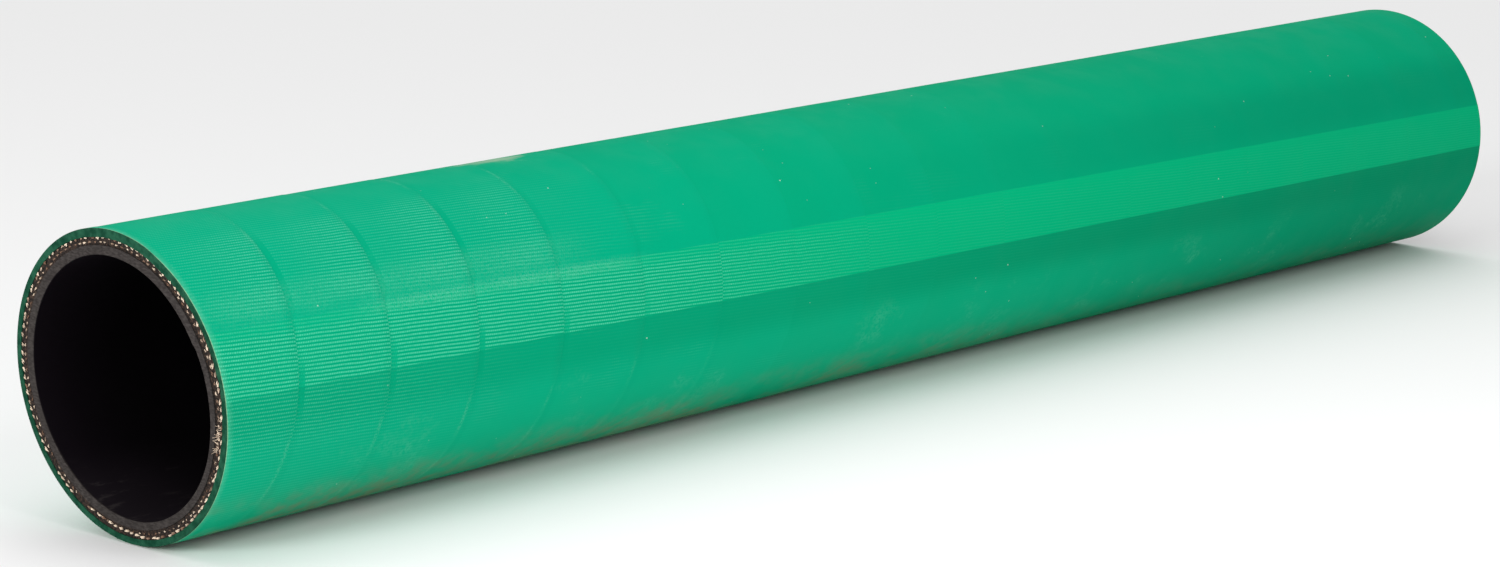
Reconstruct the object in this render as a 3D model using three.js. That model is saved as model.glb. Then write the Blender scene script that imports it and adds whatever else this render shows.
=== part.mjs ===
// A straight length of wrapped coolant hose, lying on its side along X. It has four bonded layers of rubber and
// cord, each a closed ring over the whole length. The origin is under the middle of the hose, at the bottom of
// its round, and every size is in millimetres.
import * as THREE from "three";

// Driving dimensions
const boreDiameter = 60;
const tubeWall = 2.25;
const innerPlyWall = 1.15;
const outerPlyWall = 1.15;
const coverWall = 1.7;
const stockLength = 500; // along the longest side, the top
const nearCutLean = 3.9; // degrees that the near end is cut off square, with its top standing forward

// Each ring is a prism of this many flats, turned so that one flat lies underneath
const flats = 96;

// The layers, from the bore outwards
const layers = [
  { name: "inner_tube", wall: tubeWall, colour: 0x1f1c1b, roughness: 0.6 },
  { name: "inner_ply", wall: innerPlyWall, colour: 0x4a3a30, roughness: 0.9 },
  { name: "outer_ply", wall: outerPlyWall, colour: 0x8a7362, roughness: 0.9 },
  { name: "outer_cover", wall: coverWall, colour: 0x00a878, roughness: 0.65 },
];

const wallThickness = layers.reduce((sum, layer) => sum + layer.wall, 0);
const outerRadius = boreDiameter / 2 + wallThickness;
const halfFlatAngle = Math.PI / flats;
const axisHeight = outerRadius * Math.cos(halfFlatAngle);

// One layer's wall turned about the hose's axis, which then lies along X
function ring(innerRadius, wall) {
  const ringOuterRadius = innerRadius + wall;
  const halfLength = stockLength / 2;
  const section = [
    new THREE.Vector2(innerRadius, -halfLength),
    new THREE.Vector2(ringOuterRadius, -halfLength),
    new THREE.Vector2(ringOuterRadius, halfLength),
    new THREE.Vector2(innerRadius, halfLength),
    new THREE.Vector2(innerRadius, -halfLength),
  ];
  const geometry = new THREE.LatheGeometry(section, flats, halfFlatAngle);
  geometry.rotateZ(-Math.PI / 2);
  return geometry;
}

// The knife's slope at the near end takes more off the lower a point lies, and nothing off the top
function cutNearEnd(geometry) {
  const points = geometry.attributes.position;
  const slope = Math.tan(THREE.MathUtils.degToRad(nearCutLean));
  for (let i = 0; i < points.count; i += 1) {
    if (points.getX(i) < 0) {
      const belowTop = axisHeight - points.getZ(i);
      points.setX(i, points.getX(i) + slope * belowTop);
    }
  }
  geometry.computeVertexNormals();
}

const hose = new THREE.Group();
hose.position.z = axisHeight;

let innerRadius = boreDiameter / 2;
for (const { name, wall, colour, roughness } of layers) {
  const geometry = ring(innerRadius, wall);
  cutNearEnd(geometry);
  const material = new THREE.MeshStandardMaterial({ color: colour, roughness, metalness: 0 });
  const mesh = new THREE.Mesh(geometry, material);
  mesh.name = name;
  hose.add(mesh);
  innerRadius += wall;
}

export default hose;
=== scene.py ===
import math
import random

import bmesh
import bpy
from mathutils import Matrix, Vector, noise


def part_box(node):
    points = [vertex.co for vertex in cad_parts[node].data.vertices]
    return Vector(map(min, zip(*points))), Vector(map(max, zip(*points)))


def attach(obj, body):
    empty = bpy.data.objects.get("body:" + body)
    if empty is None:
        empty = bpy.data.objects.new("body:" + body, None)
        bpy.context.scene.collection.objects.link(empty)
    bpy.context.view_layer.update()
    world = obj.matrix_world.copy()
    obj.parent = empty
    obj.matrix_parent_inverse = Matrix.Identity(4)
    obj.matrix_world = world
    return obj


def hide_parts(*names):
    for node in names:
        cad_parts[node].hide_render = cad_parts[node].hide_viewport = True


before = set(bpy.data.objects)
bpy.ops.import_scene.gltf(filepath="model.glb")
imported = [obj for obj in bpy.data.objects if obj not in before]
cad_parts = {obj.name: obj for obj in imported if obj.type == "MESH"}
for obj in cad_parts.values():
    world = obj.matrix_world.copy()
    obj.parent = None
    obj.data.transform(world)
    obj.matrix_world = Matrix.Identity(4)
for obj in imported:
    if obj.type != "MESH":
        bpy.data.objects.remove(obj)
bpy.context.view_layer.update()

# The studio. A pale seamless paper floor in a white room, with a big soft light overhead, a small one close
# to the near half and one that faces the cut end. The camera stands low, off the near end.
MM = 0.001
hose_low, hose_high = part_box("outer_cover")
axis_z = (hose_low.z + hose_high.z) / 2
hose_radius = 36.25 * MM
near_lean = math.radians(3.9)
near_slope = math.tan(near_lean)
near_x = hose_low.x + near_slope * (hose_high.z - axis_z)

photo_width = 1500
sensor_width = 36
lens_in_pixels = 4017
camera_in_radii = Vector((-15.041, -18.883, 5.426))
camera_azimuth, camera_elevation = 0.7385, -0.1977

camera = bpy.data.objects.new("camera", bpy.data.cameras.new("camera"))
camera.data.sensor_width = sensor_width
camera.data.lens = lens_in_pixels / photo_width * sensor_width
camera.data.clip_end = 50
camera.location = Vector((near_x, 0, axis_z)) + camera_in_radii * hose_radius
looking = Vector((math.cos(camera_azimuth), math.sin(camera_azimuth), math.tan(camera_elevation)))
camera.rotation_euler = looking.to_track_quat("-Z", "Y").to_euler()
bpy.context.scene.collection.objects.link(camera)
bpy.context.scene.camera = camera
bpy.context.scene.view_settings.view_transform = "Standard"


class Value:
    """A node's output. Arithmetic on it adds Math nodes."""

    def __init__(self, finish, socket):
        self.finish, self.socket = finish, socket

    def math(self, operation, *others, first=None):
        numbers = dict(enumerate((self, *others) if first is None else (first, self)))
        return self.finish.node("Math", {"operation": operation}, numbers)

    def __add__(self, other):
        return self.math("ADD", other)

    def __sub__(self, other):
        return self.math("SUBTRACT", other)

    def __rsub__(self, other):
        return self.math("SUBTRACT", first=other)

    def __mul__(self, other):
        return self.math("MULTIPLY", other)

    def __truediv__(self, other):
        return self.math("DIVIDE", other)

    __radd__ = __add__
    __rmul__ = __mul__

    def step(self, start, end, low=0.0, high=1.0):
        """Runs smoothly from low at start to high at end."""
        sockets = {"Value": self, "From Min": start, "From Max": end, "To Min": low, "To Max": high}
        return self.finish.node("MapRange", {"interpolation_type": "SMOOTHSTEP"}, sockets)

    def inside(self, start, end, soft):
        """1 between start and end, and 0 outside them."""
        return self.step(start - soft, start + soft) * self.step(end - soft, end + soft, 1.0, 0.0)


class Finish:
    """A node material on a Principled shader."""

    def __init__(self, name):
        self.material = bpy.data.materials.new(name)
        self.material.use_nodes = True
        self.tree = self.material.node_tree
        self.tree.nodes.clear()

    def node(self, kind, settings, sockets, output=0):
        """Adds a node: its settings first, then its sockets' values or links. Returns one of its outputs."""
        made = self.tree.nodes.new("ShaderNode" + kind)
        for name, value in settings.items():
            setattr(made, name, value)
        for name, value in sockets.items():
            if isinstance(value, Value):
                self.tree.links.new(value.socket, made.inputs[name])
            else:
                made.inputs[name].default_value = value
        return Value(self, made.outputs[output] if made.outputs else None)

    def place(self):
        return self.node("TexCoord", {}, {}, "Object")

    def parts(self, vector):
        split = self.node("SeparateXYZ", {}, {"Vector": vector}).socket.node
        return [Value(self, socket) for socket in split.outputs]

    def grain(self, size, detail=2.0, stretch=(1, 1, 1), roughness=0.5):
        """Noise from 0 to 1 on Object coordinates, with lumps of this size in metres."""
        sized = self.node("VectorMath", {"operation": "MULTIPLY"}, {0: self.place(), 1: stretch})
        sockets = {"Vector": sized, "Scale": 1 / size, "Detail": detail, "Roughness": roughness}
        return self.node("TexNoise", {}, sockets)

    def mix(self, share, first, second, blend="MIX"):
        """A colour between two: 0 gives the first, 1 the second."""
        settings = {"data_type": "RGBA", "blend_type": blend}
        return self.node("Mix", settings, {"Factor": share, 6: first, 7: second}, 2)

    def bump(self, height, depth, strength=1.0):
        """A normal from a height of 0 to 1 that stands for this depth in metres."""
        return self.node("Bump", {}, {"Height": height, "Distance": depth, "Strength": strength})

    def shade(self, **sockets):
        """Joins the Principled shader, and takes its sockets by name with _ for a space."""
        named = {name.replace("_", " "): value for name, value in sockets.items()}
        named = {("Specular IOR Level" if name == "Specular" else name): named[name] for name in named}
        shader = self.node("BsdfPrincipled", {}, named)
        self.node("OutputMaterial", {}, {"Surface": shader})
        return self.material


floor_size = 30
paper_white = 0.85
room_brightness = 0.6
floor_mesh = bmesh.new()
bmesh.ops.create_grid(floor_mesh, x_segments=1, y_segments=1, size=floor_size / 2)
floor = bpy.data.objects.new("floor", bpy.data.meshes.new("floor"))
floor_mesh.to_mesh(floor.data)
floor_mesh.free()
paper = Finish("floor_paper")
floor.data.materials.append(paper.shade(Base_Color=(paper_white,) * 3 + (1,), Roughness=0.9, Specular=0.0))
bpy.context.scene.collection.objects.link(floor)

world = bpy.data.worlds.new("white_room")
world.use_nodes = True
world.node_tree.nodes["Background"].inputs["Color"].default_value = (1, 1, 1, 1)
world.node_tree.nodes["Background"].inputs["Strength"].default_value = room_brightness
bpy.context.scene.world = world


def soft_lamp(name, place, aim, size, watts):
    """A square soft box that faces a point."""
    lamp = bpy.data.objects.new(name, bpy.data.lights.new(name, "AREA"))
    lamp.data.shape = "SQUARE"
    lamp.data.size = size
    lamp.data.energy = watts
    lamp.location = place
    lamp.rotation_euler = (Vector(aim) - Vector(place)).to_track_quat("-Z", "Y").to_euler()
    lamp.visible_camera = False
    bpy.context.scene.collection.objects.link(lamp)


soft_lamp("overhead_light", (1.5, 1.5, 3.5), (1, 1, 0), 6, 83)
soft_lamp("close_soft_box", (-0.2, -0.5, 0.3), (-0.2, 0, 0), 0.3, 1.25)
soft_lamp("end_soft_box", (-1.25, -0.15, 0.45), (near_x, 0, axis_z), 0.4, 8)


# The lining. A smooth black rubber tube, extruded over a mandrel before anything else goes round it. Its cut
# face shows grey where the knife dragged, and the cut dips a little where the blade came out of the bore.
steps_round = 360
flats_round = 96
corner_share = 1 / math.cos(math.pi / flats_round)
bore_radius = 30 * MM
tube_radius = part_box("inner_tube")[1].y * corner_share
lip = 0.15 * MM
bore_rings = 24
worn_length = 45 * MM
surface_roughness = 0.1 * MM
slant_ends, slant_full = 60 * MM, 5 * MM


def clock(point):
    """Degrees round the hose: 0 underneath, 90 at the back, 180 on top and 270 at the front."""
    return math.degrees(math.atan2(point.y, axis_z - point.z)) % 360


def outward(point):
    """The direction away from the hose's axis."""
    return Vector((0, point.y, point.z - axis_z)).normalized()


def blend(value, start, end):
    """Runs smoothly from 0 at start to 1 at end."""
    share = min(1, max(0, (value - start) / (end - start)))
    return share * share * (3 - 2 * share)


def spun(section, steps):
    """A ring spun about the hose's axis from a closed section of (x, radius) points."""
    mesh = bmesh.new()
    corners = [mesh.verts.new((x, 0, axis_z - radius)) for x, radius in section]
    edges = [mesh.edges.new(pair) for pair in zip(corners, corners[1:] + corners[:1])]
    bmesh.ops.spin(mesh, geom=corners + edges, cent=(0, 0, axis_z), axis=(1, 0, 0),
                   angle=math.tau, steps=steps, use_merge=True)
    bmesh.ops.remove_doubles(mesh, verts=mesh.verts, dist=0.001 * MM)
    bmesh.ops.recalc_face_normals(mesh, faces=mesh.faces)
    return mesh


def slant_near_end(mesh):
    """The near end's cut leans, with its top standing forward."""
    for vert in mesh.verts:
        if vert.co.x < 0:
            share = blend(vert.co.x, hose_low.x + slant_ends, hose_low.x + slant_full)
            vert.co.x += share * near_slope * (hose_high.z - vert.co.z)


def finished(name, mesh, materials, replaced, sharp=30):
    """Makes the piece's object, which stands for its CAD node, and rides on the hose."""
    piece = bpy.data.objects.new(name, bpy.data.meshes.new(name))
    mesh.to_mesh(piece.data)
    mesh.free()
    for material in materials:
        piece.data.materials.append(material)
    piece.data.shade_smooth()
    piece.data.set_sharp_from_angle(angle=math.radians(sharp))
    bpy.context.scene.collection.objects.link(piece)
    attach(piece, "root")
    if replaced:
        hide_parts(replaced)
    return piece


face_radii = [bore_radius + lip, 31.1 * MM, 31.5 * MM, 31.9 * MM, tube_radius]
bore_stations = [hose_low.x + ring / bore_rings * (hose_high.x - hose_low.x) for ring in range(1, bore_rings)]
tube_section = [(hose_low.x + lip, bore_radius)]
tube_section += [(hose_low.x, radius) for radius in face_radii]
tube_section += [(hose_high.x, radius) for radius in reversed(face_radii)]
tube_section += [(hose_high.x - lip, bore_radius)]
tube_section += [(x, bore_radius) for x in reversed(bore_stations)]
tube = spun(tube_section, steps_round)

mouth_wear = ((0, 0.35), (60, 0.05), (242, 0.0), (245, 0.35), (295, 0.7), (345, 0.45), (360, 0.35))


def along_table(table, at):
    """Reads a value between the points of a table."""
    for (start, low), (end, high) in zip(table, table[1:]):
        if start <= at <= end:
            return low + (high - low) * (at - start) / (end - start)


for vert in tube.verts:
    at = clock(vert.co)
    from_axis = math.hypot(vert.co.y, vert.co.z - axis_z)
    in_bore = blend(from_axis, bore_radius + 0.9 * MM, bore_radius + 0.3 * MM)
    near_mouth = blend(vert.co.x, hose_low.x + worn_length, hose_low.x)
    ripple = abs(noise.noise(Vector((vert.co.x * 30, vert.co.y * 60, vert.co.z * 60)))) * surface_roughness
    vert.co += outward(vert.co) * in_bore * (along_table(mouth_wear, at) * near_mouth * MM + ripple)
    on_face = abs(abs(vert.co.x) - hose_high.x) < 0.01 * MM
    if on_face:
        rough = abs(noise.noise(vert.co * 900)) * surface_roughness
        vert.co.x -= math.copysign(rough, vert.co.x)
slant_near_end(tube)

black = Finish("lining_rubber")
x, y, z = black.parts(black.place())
from_near = x - near_x + (z - axis_z) * near_slope
from_far = hose_high.x - x
from_axis = (y * y + (z - axis_z) * (z - axis_z)).math("SQRT")
cut_face = from_axis.step(bore_radius + 0.05 * MM, bore_radius + 0.2 * MM)
cut_face = cut_face * from_near.math("MINIMUM", from_far).step(0.6 * MM, 0.3 * MM)
mottle = black.grain(6 * MM, 4)
drag = black.grain(1.2 * MM, 3, (1, 1, 3))
bore_floor_light_and_scuff = (axis_z - z).step(18 * MM, 29 * MM) * from_near.step(worn_length, 2 * MM)
scuff = black.grain(2.5 * MM, 5, (0.25, 1, 1), 0.7).step(0.56, 0.66) * bore_floor_light_and_scuff
bore_colour = black.mix(mottle, (0.0012, 0.0008, 0.0012, 1), (0.003, 0.0022, 0.003, 1))
# Painted light and shade: the bore is lighter within 30 mm of the mouth, where light falls in, and darker
# deeper inside.
bore_colour = black.mix(from_near.step(30 * MM, 2 * MM) * 0.5, bore_colour, (0.009, 0.006, 0.0095, 1))
# Painted light: the lower side of the bore near the mouth is made lighter, where light falls into it; the
# scuffs there are real.
bore_colour = black.mix(bore_floor_light_and_scuff * 0.8, bore_colour, (0.013, 0.010, 0.013, 1))
bore_colour = black.mix(scuff * 0.25, bore_colour, (0.08, 0.07, 0.068, 1))
face_colour = black.mix(drag.step(0.3, 0.75), (0.026, 0.022, 0.021, 1), (0.056, 0.049, 0.046, 1))
face_colour = black.mix(mottle.step(0.45, 0.7) * 0.5, face_colour, (0.029, 0.025, 0.023, 1))
mandrel_lines = black.grain(1.5 * MM, 3, (0.03, 1, 1))
relief = mandrel_lines * 0.15 + black.grain(0.35 * MM, 2) * cut_face
black_rubber = black.shade(
    Base_Color=black.mix(cut_face, bore_colour, face_colour),
    Roughness=cut_face.step(0, 1, 0.55, 0.85),
    Specular=0.08,
    Normal=black.bump(relief, 0.08 * MM),
)
hose_pieces = [finished("lining_tube", tube, [black_rubber], "inner_tube")]


# The two plies. Sheets of parallel textile cord in black skim rubber, wound one over the other on the bias.
# At a cut end the rubber is torn back between the cords, so each ply is sunk a little below its neighbours.
ply_radii = [tube_radius] + [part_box(ply)[1].y * corner_share for ply in ("inner_ply", "outer_ply")]
sink = 0.3 * MM
torn = 0.22 * MM

skim = Finish("ply_rubber")
skim_tone = skim.grain(0.5 * MM, 4)
skim_colour = skim.mix(skim_tone.step(0.4, 0.7), (0.010, 0.008, 0.007, 1), (0.055, 0.034, 0.024, 1))
skim_rubber = skim.shade(
    Base_Color=skim_colour, Roughness=0.85, Specular=0.2,
    Normal=skim.bump(skim.grain(0.25 * MM, 2), 0.1 * MM),
)

for ply, inner, outer in zip(("inner_ply", "outer_ply"), ply_radii, ply_radii[1:]):
    radii = [inner + (outer - inner) * share for share in (0, 0.25, 0.5, 0.75, 1)]
    section = [(hose_low.x + sink, radius) for radius in radii]
    section += [(hose_high.x - sink, radius) for radius in reversed(radii)]
    ring = spun(section, steps_round)
    for vert in ring.verts:
        depth = (noise.noise(vert.co * 1100) + 0.3) * torn
        vert.co.x -= math.copysign(max(depth, -sink / 2), vert.co.x)
    slant_near_end(ring)
    hose_pieces.append(finished(ply + "_rubber", ring, [skim_rubber], ply))


# The cords. Each is three twisted cotton strands, cut through on the slant where its ply meets the end of
# the hose, so its end is a long oval. The outer ply's cords are thicker, and the plies lean opposite ways.
bias = math.radians(54.7)
stub = 0.9 * MM
strands_in_cord = 3
droop_clock, droop_half, droop = 12, 24, 0.9 * MM
bare_clocks, bare_half = (31, 51), 2.5
outer_count, outer_strand, outer_depth, outer_height = 110, 0.155 * MM, 0.42 * MM, 0.22 * MM
inner_count, inner_strand, inner_depth, inner_height = 112, 0.105 * MM, 0.24 * MM, 0.08 * MM
rng = random.Random(7)
cover_bulge = ((0, 0), (135, 0), (170, 0.2), (215, 0.2), (238, -0.1), (262, -0.15), (285, 0.1), (360, 0))


def cord_ends(ply_radius, count, strand_radius, hand, height, faintness):
    """The cut ends of one ply's cords, at both ends of the hose."""
    mesh = bmesh.new()
    tone = mesh.verts.layers.float.new("tone")
    cut = mesh.verts.layers.float.new("cut")
    for end in (-1, 1):
        for number in range(count):
            degrees = (number + rng.uniform(-0.25, 0.25)) * 360 / count
            if any(abs(degrees - bare) < bare_half for bare in bare_clocks):
                continue
            aside = abs((degrees - droop_clock + 180) % 360 - 180)
            cord_radius = ply_radius + rng.gauss(0, 0.08) * MM - along_table(cover_bulge, degrees % 360) * MM
            cord_radius -= droop * blend(aside, droop_half, 8) * (hand > 0)
            cord_size = strand_radius * rng.uniform(0.75, 1.15)
            cord_tone = rng.random() ** faintness
            twist = rng.uniform(0, math.tau)
            for strand in range(strands_in_cord):
                angle = twist + math.tau * strand / strands_in_cord
                across = math.cos(angle) * cord_size * 1.1
                along = math.sin(angle) * cord_size * 1.1 / math.cos(bias)
                tip = min(-sink + height + rng.uniform(-0.12, 0.12) * MM, -0.05 * MM)
                shape = Matrix((
                    (0, 0, end, end * (hose_high.x + tip - stub / 2)),
                    (0, 1 / math.cos(bias), hand * math.tan(bias), along),
                    (1, 0, 0, -cord_radius - across),
                    (0, 0, 0, 1),
                ))
                turn = Matrix.Rotation(math.radians(degrees), 4, "X")
                turned = Matrix.Translation((0, 0, axis_z)) @ turn @ shape
                made = bmesh.ops.create_cone(mesh, cap_ends=True, segments=7, radius1=cord_size,
                                             radius2=cord_size * 0.9, depth=stub, matrix=turned)
                for vert in made["verts"]:
                    vert[tone] = cord_tone * 0.75 + rng.random() * 0.25
                    vert[cut] = 1.0 if abs(vert.co.x) > hose_high.x - stub / 2 - sink else 0.0
    bmesh.ops.recalc_face_normals(mesh, faces=mesh.faces)
    slant_near_end(mesh)
    return mesh


cotton = Finish("cord_cotton")
tone_of_cord = cotton.node("Attribute", {"attribute_name": "tone"}, {}, "Fac")
cut_of_cord = cotton.node("Attribute", {"attribute_name": "cut"}, {}, "Fac")
cream = cotton.mix(tone_of_cord.step(0.15, 0.7), (0.20, 0.11, 0.07, 1), (0.95, 0.78, 0.60, 1))
fibre = cotton.grain(0.1 * MM, 2)
cream = cotton.mix(fibre.step(0.35, 0.65), cotton.mix(0.4, cream, (0.15, 0.08, 0.05, 1)), cream)
coated = cotton.mix(cut_of_cord.step(0.55, 0.95), (0.02, 0.013, 0.010, 1), cream)
cotton_yarn = cotton.shade(
    Base_Color=coated, Roughness=0.9, Specular=0.2, Normal=cotton.bump(fibre, 0.05 * MM),
)
outer_cords = cord_ends(ply_radii[2] - outer_depth, outer_count, outer_strand, 1, outer_height, 0.7)
inner_cords = cord_ends(ply_radii[1] - inner_depth, inner_count, inner_strand, -1, inner_height, 1.8)
hose_pieces.append(finished("outer_cord_ends", outer_cords, [cotton_yarn], None))
hose_pieces.append(finished("inner_cord_ends", inner_cords, [cotton_yarn], None))


# The loose fibres. Where the knife came out, some cotton is pulled up between the outer ply and the cover.
# One long fibre lies across the cover's cut face.
fray_clocks, fray_radius, fray_count = (273, 286), ply_radii[2] + 0.15 * MM, 26
fibres = [(rng.uniform(*fray_clocks), fray_radius + rng.uniform(-0.3, 0.25) * MM, rng.uniform(0.5, 1.5) * MM,
           rng.uniform(-70, 70), rng.uniform(15, 75)) for _ in range(fray_count)]
fibres.append((212, fray_radius - 0.2 * MM, 2.6 * MM, 18, 84))
loose = bmesh.new()
tone = loose.verts.layers.float.new("tone")
cut = loose.verts.layers.float.new("cut")
for at, radius, length, sideways, bent in fibres:
    turned = (Matrix.Translation((near_x, 0, axis_z)) @ Matrix.Rotation(math.radians(at), 4, "X")
              @ Matrix.Translation((near_slope * radius * -math.cos(math.radians(at)), 0, -radius))
              @ Matrix.Rotation(math.radians(sideways), 4, "X") @ Matrix.Rotation(math.radians(bent), 4, "Y")
              @ Matrix.Rotation(math.radians(-90), 4, "Y") @ Matrix.Translation((0, 0, length / 2)))
    made = bmesh.ops.create_cone(loose, cap_ends=True, segments=5, radius1=0.06 * MM, radius2=0.03 * MM,
                                 depth=length, matrix=turned)
    for vert in made["verts"]:
        vert[tone], vert[cut] = rng.uniform(0.3, 0.7), 1.0
bmesh.ops.recalc_face_normals(loose, faces=loose.faces)
hose_pieces.append(finished("loose_fibres", loose, [cotton_yarn], None))


# The cover. A sheet of green rubber wrapped once round the plies, with its edges lapped along the front, then
# bound with a spiral of wet nylon tape and cured. The tape is stripped off, and leaves its weave and its
# edges in the rubber.
wrap_pitch = 27.26 * MM
wrap_edge_from_near = 21.9 * MM
wrap_edge_clock = 253
tape_relief = 0.12 * MM
skin_gap = 0.05 * MM
skin_radius = hose_high.y - tape_relief - skin_gap
cover_inner = ply_radii[2]
turn_profile = [(0.0, -0.9), (0.45, -1.0), (1.2, -0.35), (3.2, 0.0), (7.5, 0.25),
                (13.0, 0.5), (19.0, 0.7), (24.5, 0.9), (26.6, 1.0)]
lap_near, lap_far = (242.1, 266.2), (253.9, 273.7)
lap_rise = 0.07 * MM
lap_reach = 45
swell_height = 0.04 * MM
rim = 0.22 * MM

first_edge = near_x + wrap_edge_from_near + wrap_pitch * (wrap_edge_clock / 360)
while first_edge > hose_low.x - wrap_pitch:
    first_edge -= wrap_pitch
turns = math.ceil((hose_high.x - first_edge) / wrap_pitch) + 2

cover = bmesh.new()
line = [cover.verts.new((first_edge + offset * MM, 0, axis_z - skin_radius - height * tape_relief))
        for offset, height in turn_profile + [(wrap_pitch / MM, turn_profile[0][1])]]
edges = [cover.edges.new(pair) for pair in zip(line, line[1:])]
bmesh.ops.spin(cover, geom=line + edges, cent=(0, 0, axis_z), axis=(1, 0, 0), angle=math.tau,
               dvec=(-wrap_pitch / steps_round, 0, 0), steps=steps_round)
one_turn = cover.verts[:] + cover.edges[:] + cover.faces[:]
for turn in range(1, turns):
    copied = bmesh.ops.duplicate(cover, geom=one_turn)["geom"]
    moved = [item for item in copied if isinstance(item, bmesh.types.BMVert)]
    bmesh.ops.translate(cover, verts=moved, vec=(turn * wrap_pitch, 0, 0))
bmesh.ops.remove_doubles(cover, verts=cover.verts, dist=0.02 * MM)

near_normal = Vector((-1, 0, -near_slope)).normalized()
near_point = Vector((near_x, 0, axis_z))
far_normal = Vector((1, 0, 0))
far_point = Vector((hose_high.x, 0, axis_z))
ends = ((near_point, near_normal), (far_point, far_normal))
for point, normal in ends:
    bmesh.ops.bisect_plane(cover, geom=cover.verts[:] + cover.edges[:] + cover.faces[:], dist=0.001 * MM,
                           plane_co=point - normal * rim, plane_no=normal, clear_outer=True)

wrap = cover.loops.layers.uv.new("wrap")
for face in cover.faces:
    middle = clock(face.calc_center_median())
    for loop in face.loops:
        at = clock(loop.vert.co)
        at += 360 * round((middle - at) / 360)
        loop[wrap].uv = (loop.vert.co.x - near_x, at / 360)

for vert in cover.verts:
    at = clock(vert.co)
    share = (vert.co.x - hose_low.x) / (hose_high.x - hose_low.x)
    edges_at = [(lap_near[0] - lap_reach, 0), (lap_near[0], lap_far[0] - lap_near[0]),
                (lap_near[1], lap_far[1] - lap_near[1]), (lap_near[1] + lap_reach, 0)]
    drift = 0
    for (start, from_shift), (end, to_shift) in zip(edges_at, edges_at[1:]):
        if start <= at < end:
            drift = from_shift + (to_shift - from_shift) * (at - start) / (end - start)
    on_lap = blend(at, lap_near[0] - 1, lap_near[0]) * blend(at, lap_near[1] + 1, lap_near[1])
    swell = noise.noise(Vector((vert.co.x * 25, vert.co.y * 18, vert.co.z * 18))) * swell_height
    print_share = blend(at, 185, 215) * blend(at, 300, 280)
    kept = (0.45 + 0.55 * print_share) * (1 - 0.85 * blend(share, 0.12, 0.42))
    worn = (1 - kept) * (math.hypot(vert.co.y, vert.co.z - axis_z) - skin_radius)
    vert.co += outward(vert.co) * (on_lap * lap_rise + swell - swell_height - worn)
    turned = Matrix.Rotation(math.radians(drift * share), 3, "X")
    from_axis = Vector((0, vert.co.y, vert.co.z - axis_z))
    vert.co = Vector((vert.co.x, 0, axis_z)) + turned @ from_axis

inner_edges = []
for point, normal in ends:
    rim_edges = [edge for edge in cover.edges if edge.is_boundary
                 and abs((edge.verts[0].co - point).dot(normal)) < 2 * rim]
    shares = [1 - 0.6 * rim / skin_radius, 0.988, 0.976, 0.966, cover_inner / skin_radius]
    radius_now = 1.0
    for number, radius_share in enumerate(shares):
        made = bmesh.ops.extrude_edge_only(cover, edges=rim_edges)["geom"]
        verts = [item for item in made if isinstance(item, bmesh.types.BMVert)]
        rim_edges = [item for item in made if isinstance(item, bmesh.types.BMEdge) and item.is_boundary]
        for face in (item for item in made if isinstance(item, bmesh.types.BMFace)):
            face.material_index = 1
        if number == 0:
            bmesh.ops.translate(cover, verts=verts, vec=normal * rim)
        factor = radius_share / radius_now
        bmesh.ops.scale(cover, verts=verts, vec=(factor,) * 3, space=Matrix.Translation(-point))
        radius_now = radius_share
        if number:
            for vert in verts:
                bulge = along_table(cover_bulge, clock(vert.co)) * MM * number / (len(shares) - 1)
                rough = abs(noise.noise(vert.co * 700)) * surface_roughness
                vert.co -= outward(vert.co) * bulge + normal * rough
    inner_edges += rim_edges
bridge = bmesh.ops.bridge_loops(cover, edges=inner_edges)
for face in bridge["faces"]:
    face.material_index = 1
bmesh.ops.recalc_face_normals(cover, faces=cover.faces)

green = Finish("green_cover")
along, around, _ = green.parts(green.node("UVMap", {"uv_map": "wrap"}, {}))
x, y, z = green.parts(green.place())
from_cut = x - near_x + (z - axis_z) * near_slope
ribs_round = 263
rib_slant = 0.05
bead_spacing = 0.66 * MM


def band(start, end, soft):
    """1 where the clock is between two angles in degrees."""
    return around.inside(start / 360, end / 360, soft / 360)


wraps = (along - wrap_edge_from_near) / wrap_pitch + around - wrap_edge_clock / 360
in_wrap = wraps.math("FRACT")
turn_number = wraps.math("FLOOR")
shift = (turn_number * 12.9898).math("SINE")
rib_phase = (around - along * (rib_slant / (math.tau * hose_radius))) * ribs_round + shift * 3.7
rib_phase = rib_phase + green.grain(7 * MM, 1) * 0.35
rib = (rib_phase * math.tau).math("COSINE") * 0.5 + 0.5
bead_phase = wraps * (wrap_pitch / bead_spacing * math.tau) + rib_phase * (math.tau * 0.5)
bead = bead_phase.math("SINE") * 0.5 + 0.5

patches = green.grain(13 * MM, 4, (0.6, 1, 1), 0.6)
fine = green.grain(0.9 * MM, 3)
speckle = green.grain(0.45 * MM, 2)
lap = band(lap_near[0], lap_near[1], 0.25)
lap_shadow_painted = band(258, 281, 8)

# Where the weave prints: over the top, on the lap, a little under it, and in a few rubbed spots beyond it.
to_edge = in_wrap.step(0.05, 0.95, 0.35, 1)
over_top = band(201, 240, 7) * from_cut.step(80 * MM, 140 * MM, 0.75, 0) * to_edge
on_lap_print = lap * from_cut.step(110 * MM, 240 * MM, 1.0, 0.12) * patches.step(0.2, 0.55, 0.7, 1)
under_lap = band(262, 288, 6) * 0.28 + band(262, 320, 7) * 0.2
under_lap = under_lap * from_cut.step(10 * MM, 100 * MM, 1, 0.1)
crown = band(170, 205, 10) * from_cut.step(20 * MM, 130 * MM, 0.22, 0)
rubbed = patches.step(0.5, 0.72) * from_cut.step(120 * MM, 280 * MM, 0.22, 0.03)
print_strength = over_top.math("MAXIMUM", on_lap_print).math("MAXIMUM", under_lap)
print_strength = print_strength.math("MAXIMUM", crown).math("MAXIMUM", rubbed)
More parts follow.
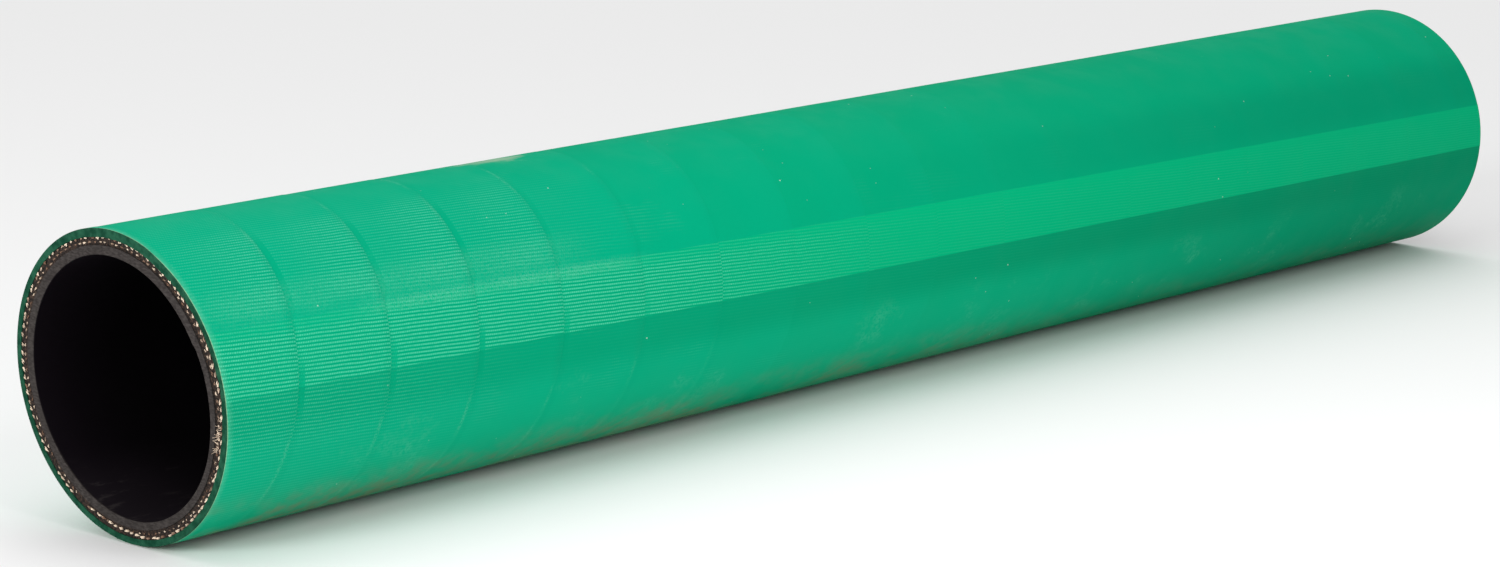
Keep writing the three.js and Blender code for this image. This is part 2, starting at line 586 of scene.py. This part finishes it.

# A tape edge leaves a smooth strip beside it, narrow over the lap's upper edge, and fainter down the hose.
# The strip keeps no chalk, and is also painted darker as the shadow of the tape's step.
strip_end = 0.062 - band(240, 256, 1.5) * 0.045
strip = in_wrap.step(0.0, 0.005) * in_wrap.step(strip_end, strip_end + 0.012, 1, 0)
edge_fade = from_cut.step(70 * MM, 190 * MM, 1, 0.0) * patches.step(0.25, 0.5, 0.5, 1)
strip_bands = band(206, 243, 9) + band(258, 276, 6) * 0.8
strip = strip * edge_fade * strip_bands.step(0, 1, 0.25, 1)
stipple = band(238.5, 241, 2) + lap * band(240, 246, 2) * 0.8
clear = (1 - strip) * (1 - stipple * 0.75)
crest = rib.step(0.4, 0.9) * bead.step(0, 1, 0.25, 1) * fine.step(0.3, 0.55, 0.55, 1)
valley_shade_painted = rib.step(0.45, 0.05)
chalk = print_strength * clear * crest

# Chalk that isn't in ribs: along the lap's upper edge, at the cut end, on the tape edges and in small smears.
edge_haze = (band(241, 245.5, 1.5) * from_cut.inside(48 * MM, 128 * MM, 12 * MM)
             + band(229, 241, 4) * from_cut.inside(4 * MM, 112 * MM, 14 * MM) * 0.5)
edge_haze = edge_haze * patches.step(0.3, 0.6, 0.4, 1) * (crest * 0.6 + speckle.step(0.35, 0.6) * 0.5)
end_haze = from_cut.step(0.2 * MM, 2.4 * MM, 1, 0) * fine.step(0.25, 0.6, 0.4, 1)
edge_chalk = in_wrap.inside(0.955, 0.99, 0.008) * speckle.step(0.45, 0.55) * edge_fade
edge_chalk = edge_chalk * (band(178, 214, 6) + band(284, 335, 5) * 0.8) * patches.step(0.4, 0.6)
smears = green.grain(22 * MM, 5, (1, 1, 1), 0.65).step(0.55, 0.72) * band(285, 345, 8) * fine.step(0.35, 0.6)
haze = edge_haze * 0.5 + end_haze * 0.30 + edge_chalk * 0.3 + smears * 0.22

tone = green.grain(45 * MM, 3)
wrap_tone = in_wrap.step(0.1, 0.9) * (shift * 0.5 + 0.5)
nearer = green.mix(tone, (0.0, 0.318, 0.168, 1), (0.0, 0.340, 0.184, 1))
farther = green.mix(tone, (0.0, 0.312, 0.150, 1), (0.0, 0.338, 0.168, 1))
base = green.mix(from_cut.step(60 * MM, 260 * MM), nearer, farther)
base = green.mix(wrap_tone * 0.35, base, (0.0, 0.355, 0.190, 1))
lower_side = band(288, 322, 14)
base = green.mix(lower_side * 0.6, base, (0.004, 0.385, 0.205, 1))
# Painted shadow: the green just below the lap's lower edge is made darker, as the shade that the lapped edge
# casts.
base = green.mix(lap_shadow_painted * from_cut.step(20 * MM, 480 * MM, 0.4, 1.0), base, (0.0, 0.245, 0.113, 1))
above_lap = band(222, lap_near[0], 7) * from_cut.step(150 * MM, 450 * MM)
base = green.mix(above_lap * 0.6, base, (0.0, 0.255, 0.128, 1))
# Painted shade: towards the far end, the green from the lap's lower edge round to the underside is made
# darker.
base = green.mix(from_cut.step(250 * MM, 480 * MM) * around.step(266 / 360, 272 / 360) * 0.8, base,
                 (0.0, 0.235, 0.112, 1))
lap_colour = green.mix(from_cut.step(60 * MM, 260 * MM), (0.0, 0.350, 0.178, 1), (0.0, 0.385, 0.168, 1))
base = green.mix(lap, base, lap_colour)
# Painted shadow: the strip beside each tape edge is made darker, as the shade of the tape's step.
base = green.mix(strip * 0.35, base, (0.0, 0.27, 0.135, 1))
# Painted shade: where the weave prints, the hollows between its ribs are made darker.
base = green.mix(valley_shade_painted * print_strength * clear * 0.5, base, (0.0, 0.235, 0.115, 1))
chalky = green.mix((chalk * 0.68).math("MINIMUM", 1.0), base, (0.12, 0.57, 0.37, 1))
chalky = green.mix(haze.math("MINIMUM", 0.8), chalky, (0.12, 0.49, 0.32, 1))
# The pale line round the cut rim is partly chalky wear and partly a painted highlight on the cut edge.
rim_chalk_and_highlight = from_cut.step(0.15 * MM, 0.6 * MM, 1, 0) * fine.step(0.2, 0.6, 0.5, 1)
chalky = green.mix(rim_chalk_and_highlight * 0.5, chalky, (0.50, 0.50, 0.30, 1))

# Brown dust underneath, a pale rubbed spot on the crown, and small white specks.
dust_zone = (axis_z - z).step(19 * MM, 34 * MM) * from_cut.step(180 * MM, 330 * MM, 1, 0.25)
dust = dust_zone * patches.step(0.3, 0.65) * green.grain(4 * MM, 4).step(0.35, 0.65, 0.3, 1)
dusty = green.mix(dust * 0.75, chalky, (0.20, 0.19, 0.11, 1))
crown_spot = band(164, 182, 9) * from_cut.inside(107 * MM, 133 * MM, 11 * MM)
crown_spot = (crown_spot * 0.55 + green.grain(5 * MM, 6, (0.5, 1, 1), 0.7) * 0.9).step(0.68, 1.05)
dusty = green.mix(crown_spot * 0.65, dusty, (0.36, 0.46, 0.33, 1))
speck = green.node("TexVoronoi", {"feature": "F1"}, {"Vector": green.place(), "Scale": 1 / (5 * MM)})
specks = speck.step(0.025, 0.045, 1, 0) * green.grain(30 * MM, 2).step(0.48, 0.6)
dusty = green.mix(specks * 0.6, dusty, (0.75, 0.80, 0.72, 1))

weave_height = rib * (0.05 + print_strength * 0.95) * 0.6 + bead * 0.12 + fine * 0.2
green_skin = green.shade(
    Base_Color=dusty,
    Roughness=green.grain(10 * MM, 3).step(0.3, 0.7, 0.62, 0.8),
    Specular=0.02,
    Normal=green.bump(weave_height * clear, 0.03 * MM),
)

# The cover's cut face: darker green rubber where freshly cut, and darker still as painted shade on the end
# face.
cut_green = Finish("green_cut")
smear = cut_green.grain(2 * MM, 4)
cut_colour = cut_green.mix(smear.step(0.3, 0.7), (0.002, 0.040, 0.020, 1), (0.014, 0.085, 0.046, 1))
cut_rubber = cut_green.shade(
    Base_Color=cut_colour, Roughness=0.8, Specular=0.08,
    Normal=cut_green.bump(cut_green.grain(0.5 * MM, 3), 0.08 * MM),
)
cover_piece = finished("green_cover", cover, [green_skin, cut_rubber], "outer_cover")
